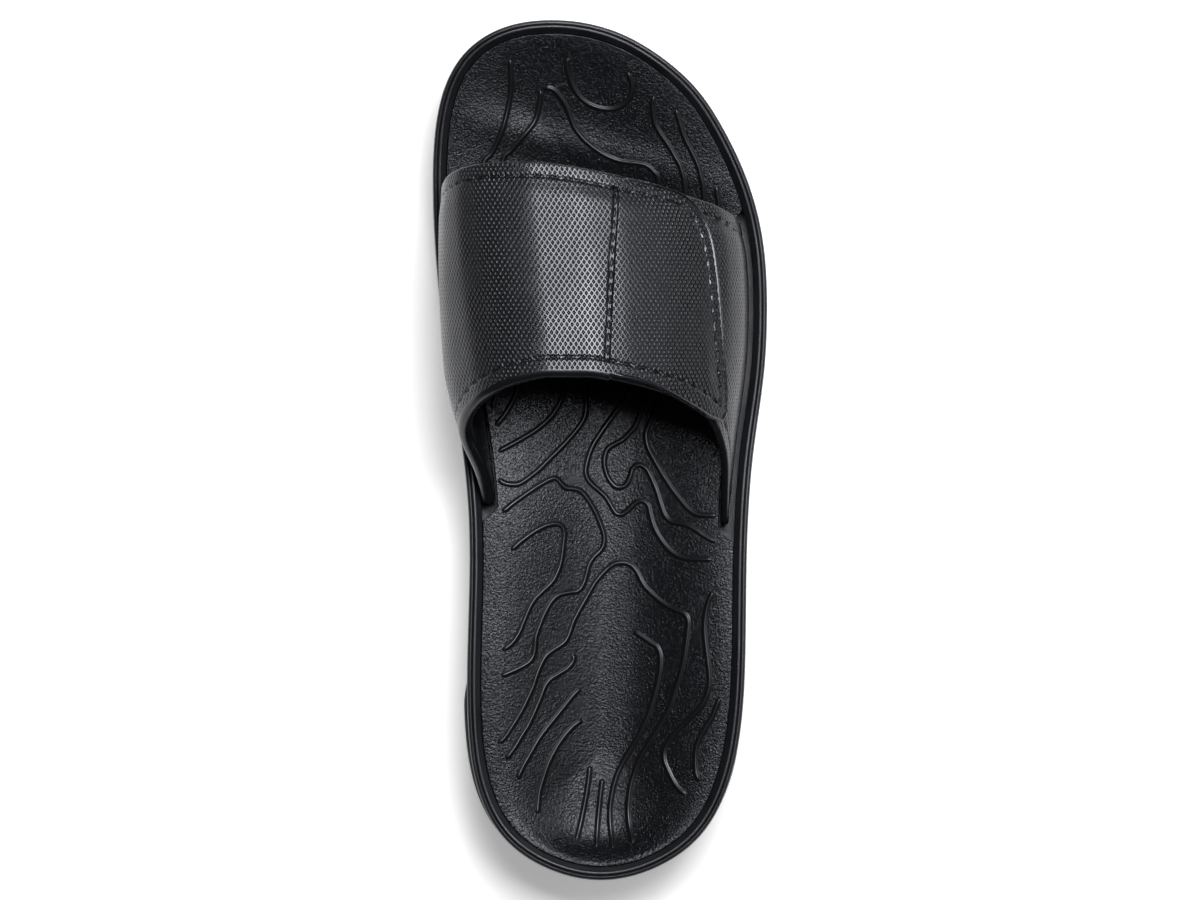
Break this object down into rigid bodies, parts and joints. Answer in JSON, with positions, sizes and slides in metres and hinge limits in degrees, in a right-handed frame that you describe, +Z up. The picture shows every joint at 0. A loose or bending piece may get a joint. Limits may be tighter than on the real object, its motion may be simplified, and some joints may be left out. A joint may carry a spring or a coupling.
{
  "type": "sport slide sandal",
  "caption": "Right-foot slide sandal: moulded foam sole with a rimmed contoured footbed, one wide strap with a closing flap over the instep, and a deep grooved tread.",
  "frame": {"origin": "on the ground plane, under the middle of the sandal's length and width", "axes": "+Y towards the toe, +X towards the outer (little toe) side, +Z up"},
  "size_m": [0.1138, 0.2923, 0.0825],
  "materials": {
    "outsole": "matt moulded black foam rubber",
    "midsole": "matt moulded black foam",
    "footbed": "soft black foam with a fine leather grain",
    "strap": "satin black coated fabric, embossed with a fine diamond weave",
    "strap_flap": "satin black coated fabric, embossed with a fine diamond weave"
  },
  "bodies": {
    "root": {"outsole": "outsole", "midsole": "midsole", "footbed": "footbed", "strap": "strap", "strap_flap": "strap_flap"}
  },
  "joints": []
}
